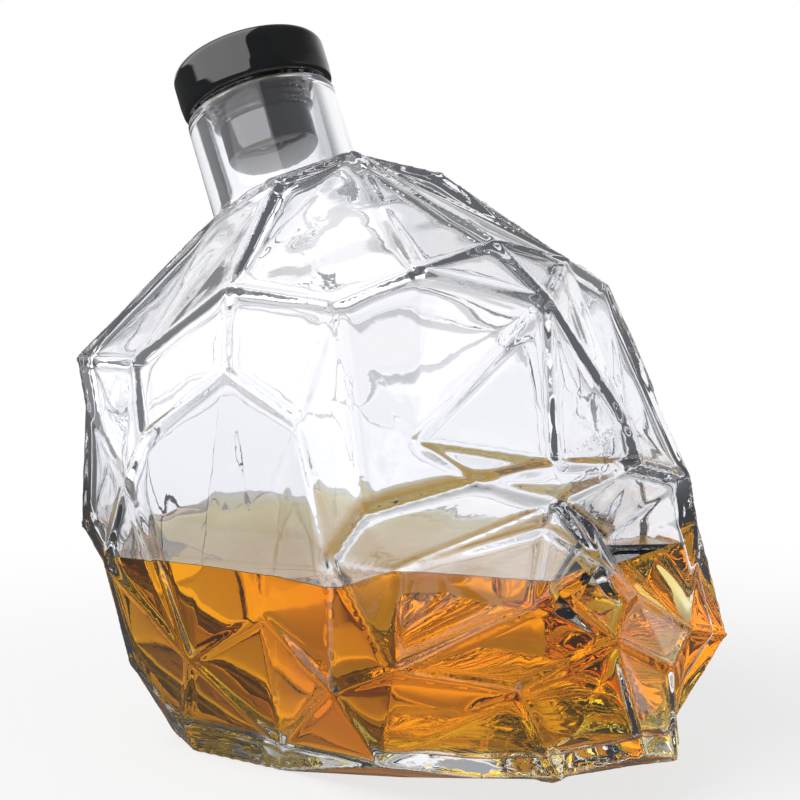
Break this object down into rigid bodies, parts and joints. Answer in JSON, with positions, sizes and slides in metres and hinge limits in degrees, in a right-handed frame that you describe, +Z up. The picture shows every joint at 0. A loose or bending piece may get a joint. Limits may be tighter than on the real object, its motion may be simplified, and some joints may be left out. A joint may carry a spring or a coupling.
{
  "type": "figural liquor decanter",
  "caption": "Clear faceted glass skull decanter, part filled with amber whisky, with a leaning round neck and a black push-in stopper.",
  "frame": {"origin": "middle of the flat underside that the bottle stands on, in the plane that divides left from right", "axes": "+Z up; the skull looks along -Y; +X is to its left, across the ears"},
  "size_m": [0.132, 0.1642, 0.157],
  "materials": {
    "clear_glass": "fire polished, smooth",
    "amber_whisky": "clear liquid",
    "black_gloss": "polished, black",
    "grey_silicone": "clear, slightly smoky"
  },
  "bodies": {
    "bottle": {"glass_body": "clear_glass", "whisky": "amber_whisky"},
    "stopper": {"stopper_cap": "black_gloss", "stopper_plug": "black_gloss", "seal_sleeve": "grey_silicone"}
  },
  "joints": [
    {"name": "stopper_lift", "type": "slide", "parent": "bottle", "child": "stopper", "axis": [0, 0.4848, 0.8746], "range_m": [0, 0.018]}
  ]
}
